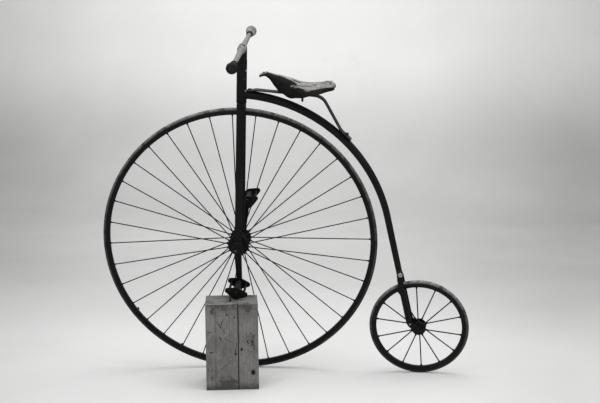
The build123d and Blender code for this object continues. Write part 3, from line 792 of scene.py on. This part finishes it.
# Fork bearings: forged black iron, kept greasy. Each is held by two cap screws and has an oil cup
# with a lid that fingers have rubbed, and that is painted paler where it faces up, partly dust and partly painted
# top light.
greasy = surface("greasy_black_iron", black_iron(0.10, 0.12))
cover(greasy, "fork_bearing_left", "fork_bearing_right")
oil_cup = turned(
    "cup",
    16,
    (
        (0.0050, -0.0022), (0.0050, 0.0016), (0.0038, 0.0024), (0.0038, 0.0046),
        (0.0062, 0.0060), (0.0064, 0.0098), (0.0054, 0.0116), (0.0024, 0.0124),
    ),
)
fork_turn = fork_axes.to_3x3()
cup_way = fork_turn @ Vector((0.35, 0, 0.95))
cup_x, cup_y, cup_z = 9, 69.5, 24.1
oil_cups = repeated(
    oil_cup,
    "bearing_oil_cups",
    [(on_fork(cup_x, side * cup_y, cup_z), cup_way) for side in (-1, 1)],
)
fit(oil_cups, "fork", rubbed_top_lit_iron)
cap_screw = turned(
    "screw",
    6,
    ((0.0052, -0.0020), (0.0052, 0.0034), (0.0044, 0.0042), (0.0022, 0.0043)),
)
screw_x, screw_y, screw_z = 22.6, 70, -12
cap_screws = repeated(
    cap_screw,
    "bearing_cap_screws",
    [
        (on_fork(x, side * screw_y, screw_z), fork_turn @ Vector((x, 0, screw_z)))
        for x in (-screw_x, screw_x)
        for side in (-1, 1)
    ],
)
fit(cap_screws, "fork", greasy)


# Steering head: the stem turns in a long iron socket, and the nut on top keeps it there. Two
# bright steel screws in the back of the socket, top and bottom, take up the wear.
def on_column(height, behind=0.0, beside=0.0, place=on_fork):
    """A point by the steering line, from millimetres up it, behind it and to its right."""
    x = height * math.sin(rake) + behind * math.cos(rake)
    return place(x, beside, height * math.cos(rake) - behind * math.sin(rake))


grub_screw = turned(
    "screw",
    16,
    (
        (0.0046, -0.0020), (0.0046, 0.0024), (0.0040, 0.0032), (0.0030, 0.0034),
        (0.0026, 0.0022), (0.0012, 0.0020),
    ),
)


def on_socket(height, turn, out):
    """A point of the frame round the steering line, turned to the left from straight behind it."""
    return on_column(height, out * math.cos(turn), -out * math.sin(turn), on_frame)


# Columns: height up the steering line, and turn to the left in radians
socket_rows = ((806.0, 0.42), (716.0, 0.55))
screw_foot = 22.6
head_screws = repeated(
    grub_screw,
    "socket_screws",
    [
        (on_socket(*row, screw_foot), on_socket(*row, 30) - on_socket(*row, 20))
        for row in socket_rows
    ],
)
fit(head_screws, "frame", bright)


# Handlebar: one straight iron bar, forged with the lug in its middle and left bright, now dull
# and stained. The stem's end comes up through the lug and is riveted over a washer,
# and a set screw locks it.
bar_x, bar_z = 59.845, 901.015


def on_bar(along, behind=0.0, higher=0.0):
    """A point by the bar, from millimetres along it to the right, behind it and above it."""
    return on_fork(bar_x + behind, along, bar_z + higher)


def bare_iron(place):
    stains = place.noise(45.0, 6.0, 0.7)
    spots = place.noise(420.0, 3.0, 0.6)
    drawn = place.spread((0.0008, 0.05, 0.0008), (0, 0, 0), tuple(fork_axes.to_euler()))
    drawn = drawn.noise(1.0, 3.0, 0.6)
    colour = stains.between(0.3, 0.62).shades((0.10, 0.098, 0.095), (0.25, 0.246, 0.240))
    spotted = spots.between(0.54, 0.68) * stains.between(0.40, 0.6)
    colour = spotted.shades(colour, (0.085, 0.080, 0.074))
    colour = (drawn.between(0.60, 0.75) * 0.4).shades(colour, (0.16, 0.155, 0.15))
    return {
        "Base Color": colour,
        "Roughness": 0.42 + stains * 0.3,
        "Metallic": 0.35,
        "Normal": (stains * 0.5 + spots * 0.3 + drawn * 0.2).bump(0.00025),
    }


bare = surface("bare_bar_iron", bare_iron)
cover(bare, "handlebar")
lug_pin = turned(
    "lug_pin",
    20,
    (
        (0.0112, -0.0030), (0.0112, 0.0010), (0.0102, 0.0016), (0.0078, 0.0017),
        (0.0074, 0.0026), (0.0050, 0.0033), (0.0022, 0.0036),
    ),
)
bar_height, lug_radius = 903, 19.2
stand(lug_pin, on_column(bar_height + lug_radius), on_column(950) - on_column(900))
fit(lug_pin, "fork", bare)
lug_screw = turned(
    "lug_screw",
    16,
    (
        (0.0062, -0.0040), (0.0062, 0.0018), (0.0056, 0.0028), (0.0040, 0.0031),
        (0.0034, 0.0016), (0.0014, 0.0015),
    ),
)
stand(lug_screw, on_bar(-20, 9.6, 16.6), fork_turn @ Vector((0.5, 0, 0.866)))
fit(lug_screw, "fork", rust)


# Grips: turned pears of dark horn, pushed on the bar's ends and held by a ferrule and a cap.
# Hands and weather have bleached them in bands. The left grip is painted darker, as painted shade, and the right
# one paler, as painted light: two copies of the same horn.
def worn_horn(pale, dark):
    """Layered horn in two colours: where it is bleached, and where it has kept its own."""

    def recipe(place):
        along = place.spread((1, 1, 1), tuple(on_bar(0)), tuple(fork_axes.to_euler()))
        layers = along.spread((0.004, 0.05, 0.004)).noise(1.0, 4.0, 0.6)
        blotches = place.noise(48.0, 5.0, 0.65)
        chips = place.noise(260.0, 3.0, 0.6)
        bleached = (layers * 0.45 + blotches * 0.7).between(0.50, 0.68)
        colour = bleached.shades(dark, pale)
        colour = (chips.between(0.60, 0.70) * 0.7).shades(colour, (0.030, 0.028, 0.025))
        return {
            "Base Color": colour,
            "Roughness": 0.6 + blotches * 0.2,
            "Specular IOR Level": 0.12,
            "Normal": (layers * 0.5 + chips * 0.3 + blotches * 0.4).bump(0.0004),
        }

    return recipe


# Painted light: the left grip is a shaded copy of the horn, much darker, and the right grip a lit copy, much
# paler.
shaded_horn = worn_horn((0.014, 0.013, 0.012), (0.0040, 0.0038, 0.0036))
lit_horn = worn_horn((0.33, 0.32, 0.305), (0.11, 0.105, 0.098))
cover(surface("shaded_horn", shaded_horn), "grip_left")
cover(surface("lit_horn", lit_horn), "grip_right")
ferrule = turned(
    "ferrule",
    24,
    (
        (0.0112, -0.0070), (0.0128, -0.0066), (0.0132, -0.0040), (0.0138, -0.0034),
        (0.0144, 0.0010), (0.0158, 0.0050), (0.0158, 0.0066), (0.0140, 0.0072),
    ),
)
sideways = fork_turn @ Vector((0, 1, 0))
ferrule_y, cap_y = 315, 421.6
ferrules = repeated(
    ferrule, "grip_ferrules", [(on_bar(side * ferrule_y), sideways * side) for side in (-1, 1)]
)
fit(ferrules, "fork", enamel)
end_cap = turned(
    "cap",
    20,
    (
        (0.0088, -0.0030), (0.0088, 0.0000), (0.0080, 0.0010), (0.0050, 0.0018),
        (0.0034, 0.0020), (0.0030, 0.0012), (0.0014, 0.0011),
    ),
)
end_caps = repeated(
    end_cap, "grip_end_caps", [(on_bar(side * cap_y), sideways * side) for side in (-1, 1)]
)
fit(end_caps, "fork", rust)


# Hubs: cast iron barrels with chamfered flanges, black with old oil. The front axle is keyed in
# its hub and turns with it; the rear one is fixed in the fork, and its hub runs on it.
cover(greasy, "front_hub", "front_axle", "rear_hub", "rear_axle")


# Spokes: straight iron wires, screwed into the flanges and headed over in the rims.
# Their black has flaked in places and the iron under it is grey.
def spoke_wire(place):
    flakes = place.noise(70.0, 5.0, 0.7)
    fine = place.noise(600.0, 3.0, 0.6)
    colour = flakes.between(0.55, 0.70).shades((0.0030, 0.0029, 0.0028), (0.022, 0.020, 0.018))
    bright_spots = flakes.between(0.68, 0.76) * fine.between(0.45, 0.6)
    colour = (bright_spots * 0.6).shades(colour, (0.20, 0.196, 0.19))
    return {
        "Base Color": colour,
        "Roughness": 0.5 + flakes * 0.25,
        "Specular IOR Level": 0.2,
        "Normal": (flakes * 0.6 + fine * 0.3).bump(0.00012),
    }


wire = surface("flaked_spoke_wire", spoke_wire)
cover(wire, "front_spokes_left", "front_spokes_right", "rear_spokes_left", "rear_spokes_right")


def spoke_ends(name, body, place, centre, count, turn, flange, side_y, rim, thick):
    """The collars on all of a wheel's spokes, at the flange's edge and at the rim's inside."""
    collar = turned(
        "collar",
        6,
        (
            (thick * 1.7, -0.0012), (thick * 1.7, 0.0040),
            (thick * 1.45, 0.0062), (thick * 1.04, 0.0085),
        ),
    )
    ends = []
    for number in range(count):
        angle = (number + turn) * math.tau / count
        out = Vector((math.cos(angle), 0, math.sin(angle)))
        side = -1 if number % 2 else 1
        low = centre + out * flange + Vector((0, side * side_y, 0))
        high = centre + out * rim + Vector((0, side * 2, 0))
        ends.append((place(*low), place(*high) - place(*low)))
        ends.append((place(*high), place(*low) - place(*high)))
    piece = repeated(collar, name, ends)
    fit(piece, body, wire, 30)


front_middle, rear_middle = Vector((0, 0, 0)), Vector((820.997, 0, -406))
spoke_ends(
    "front_spoke_collars",
    "front_wheel",
    on_fork,
    front_middle,
    count=36, turn=0.0, flange=48.0, side_y=52, rim=602.8, thick=0.0024,
)
spoke_ends(
    "rear_spoke_collars",
    "rear_wheel",
    on_frame,
    rear_middle,
    count=14, turn=0.6, flange=33.0, side_y=19, rim=196.8, thick=0.0028,
)


# Rims: iron rolled to a trough with a narrow foot, bent to a ring and closed by a weld. The black
# has worn through along the lips and rusted where it was knocked; dust lies inside the low part, and what faces up
# is also painted paler as painted top light.
rim_iron = surface("worn_rim_enamel", black_iron(0.16, 0.14))
cover(rim_iron, "front_rim", "rear_rim")


# Rim wraps: two bindings of soft iron wire round the front rim, an old repair of the tyre's seat.
# Each is six tight turns with its ends tucked under.
wrap_width, wrap_turns, wrap_circle = 0.0300, 6, 613.6
bpy.ops.object.select_all(action="DESELECT")
bpy.ops.mesh.primitive_plane_add(size=1)
wrap = bpy.context.object
wrap.name = "wrap"
bpy.ops.object.mode_set(mode="EDIT")
bpy.ops.mesh.select_all(action="SELECT")
bpy.ops.transform.resize(value=(wrap_width, wrap_width, 1), center_override=(0, 0, 0))
bpy.ops.mesh.bevel(offset=0.0060, segments=4, affect="VERTICES")
bpy.ops.transform.translate(value=(0, 0, -0.0045))

# One turn of wire: how much the loop widens or narrows at each step, and how far it rises
wire_round = ((1.05, 0.00035), (1.02, 0.0004), (0.98039, 0.0004), (0.95238, 0.00035))
for coil in range(wrap_turns):
    for growth, rise in wire_round:
        bpy.ops.mesh.extrude_region_move(TRANSFORM_OT_translate={"value": (0, 0, rise)})
        bpy.ops.transform.resize(value=(growth, growth, 1), center_override=(0, 0, 0))
bpy.ops.mesh.select_all(action="SELECT")
bpy.ops.mesh.normals_make_consistent(inside=False)
bpy.ops.object.mode_set(mode="OBJECT")
wraps = repeated(
    wrap,
    "rim_wire_wraps",
    [
        (
            on_fork(wrap_circle * math.cos(turn), 0, wrap_circle * math.sin(turn)),
            fork_turn @ Vector((-math.sin(turn), 0, math.cos(turn))),
            sideways,
        )
        for turn in (math.radians(213.6), math.radians(239.6))
    ],
)
fit(wraps, "front_wheel", rust)


# Tyres: solid grey-black rubber cord, cemented in the rims. The tread is worn pale and cracked
# across, and painted paler still where it faces up, a painted top light; the sides are dull and dusty.
def worn_rubber(axes, centre, radius):
    """Old rubber, pale on the tread where the tyre of that radius has met the road, and painted paler where the
    tread faces up, a painted top light; dark on its sides.
    """

    def recipe(place):
        wheel = place.spread((1, 1, 1), tuple(centre), tuple(axes.to_euler()))
        east, up = wheel.axis(0), wheel.axis(2)
        reach = (east * east + up * up).root()
        wear = place.noise(20.0, 5.0, 0.65)
        grain = place.noise(500.0, 4.0, 0.65)
        cuts = place.noise(90.0, 4.0, 0.7)
        tread = (reach + (wear - 0.5) * 0.005).between(radius - 0.0125, radius - 0.0085)
        facing = place.upward().between(-0.45, 0.75)
        side = wear.between(0.3, 0.7).shades((0.012, 0.0117, 0.0112), (0.026, 0.0255, 0.0245))
        worn_and_lit = cuts.between(0.35, 0.65).shades((0.130, 0.128, 0.124), (0.300, 0.295, 0.286))
        # The tread's pale share is weighted by how far it faces up: partly real wear, partly painted top light.
        share = tread * (facing * 0.85 + 0.08) * (wear.between(0.36, 0.54) * 0.7 + 0.3)
        colour = share.shades(side, worn_and_lit)
        colour = (cuts.between(0.62, 0.72) * 0.7).shades(colour, (0.008, 0.008, 0.008))
        return {
            "Base Color": colour,
            "Roughness": 0.8,
            "Specular IOR Level": 0.15,
            "Normal": (grain * 0.4 + cuts * 0.6).bump(0.0006),
        }

    return recipe


front_radius, rear_radius = 0.635, 0.229
front_rubber = worn_rubber(fork_axes, on_fork(*front_middle), front_radius)
rear_rubber = worn_rubber(frame_axes, on_frame(*rear_middle), rear_radius)
cover(surface("front_worn_rubber", front_rubber), "front_tyre")
cover(surface("rear_worn_rubber", rear_rubber), "rear_tyre")


# Cranks: flat forged arms on the front axle's ends, held by taper cotters. Each cotter is drawn
# in by a nut over a washer; the near arm shows a bright rub where the shoe passes it.
def greasy_crank(place):
    values = black_iron(0.10, 0.14)(place)
    spots = place.noise(150.0, 4.0, 0.65)
    middle = tuple(on_fork(-9, -95, -14))
    mark = place.spread((0.006, 0.02, 0.008), middle, tuple(fork_axes.to_euler()))
    near = (mark.length() + (spots - 0.5) * 2.4).between(1.0, 0.5)
    values["Base Color"] = (near * 0.5).shades(values["Base Color"], (0.16, 0.157, 0.152))
    return values


crank_iron = surface("rubbed_crank_iron", greasy_crank)
cover(crank_iron, "crank_left", "crank_right", "pedal_pin_left", "pedal_pin_right")
cotter_nut = turned(
    "nut",
    6,
    (
        (0.0078, -0.0012), (0.0078, 0.0006), (0.0072, 0.0007), (0.0072, 0.0052),
        (0.0062, 0.0060), (0.0040, 0.0061),
    ),
)
# Each crank's side of the wheel, and its way from the axle to the pedal
cranks = {"left": (-1, Vector((0, 0, -1))), "right": (1, Vector((0.2079, 0, 0.9781)))}
cotter_down, cotter_over, cotter_y = 15.55, 17.2, 87.5
nut_places = []
for side, arm in cranks.values():
    over = Vector((arm.z, 0, -arm.x))
    middle = arm * cotter_down + over * cotter_over + Vector((0, side * cotter_y, 0))
    nut_places.append((on_fork(*middle), fork_turn @ over))
cotter_nuts = repeated(cotter_nut, "cotter_nuts", nut_places)
fit(cotter_nuts, "front_wheel", rust)
axle_cap = turned(
    "cap",
    20,
    (
        (0.0096, -0.0016), (0.0096, 0.0006), (0.0084, 0.0014), (0.0040, 0.0019),
        (0.0034, 0.0006), (0.0014, 0.0005),
    ),
)
axle_end_y = 95
axle_caps = repeated(
    axle_cap,
    "front_axle_centres",
    [(on_fork(0, side * axle_end_y, 0), sideways * side) for side in (-1, 1)],
)
fit(axle_caps, "front_wheel", greasy)


# Pedals: two lobed iron plates on a barrel with bars for the sole, riveted over through the
# plates. A screw holds the dust cap on the pin's end.
pedal_iron = surface("worn_pedal_iron", black_iron(0.03, 0.05))
cover(pedal_iron, "pedal_body_left", "pedal_bars_left", "pedal_body_right", "pedal_bars_right")
bar_rivet = turned(
    "rivet",
    12,
    ((0.0074, -0.0008), (0.0074, 0.0006), (0.0062, 0.0015), (0.0038, 0.0021), (0.0016, 0.0022)),
)
pin_screw = turned(
    "screw",
    16,
    (
        (0.0058, -0.0010), (0.0058, 0.0008), (0.0050, 0.0016), (0.0034, 0.0020),
        (0.0030, 0.0008), (0.0012, 0.0007),
    ),
)
crank_length, pin_end_y = 162, 236
bar_reach, outer_plate_y, inner_plate_y = 33, 228, 104
pin_places = []
for hand, tilt in (("left", math.radians(15.0)), ("right", math.radians(-20.0))):
    side, arm = cranks[hand]
    centre = arm * crank_length
    slope = Vector((math.cos(tilt), 0, -math.sin(tilt)))
    pin_places.append((on_fork(*(centre + Vector((0, side * pin_end_y, 0)))), sideways * side))
    rivets = []
    for reach in (-bar_reach, bar_reach):
        for plate_y, way in ((outer_plate_y, 1), (inner_plate_y, -1)):
            middle = centre + slope * reach + Vector((0, side * plate_y, 0))
            rivets.append((on_fork(*middle), sideways * side * way))
    pattern = bpy.data.objects.new("rivet", bar_rivet.data.copy())
    plate_rivets = repeated(pattern, f"pedal_rivets_{hand}", rivets)
    fit(plate_rivets, f"pedal_{hand}", pedal_iron)
bpy.data.objects.remove(bar_rivet)
pin_screws = repeated(pin_screw, "pedal_pin_screws", pin_places)
fit(pin_screws, "front_wheel", rust)
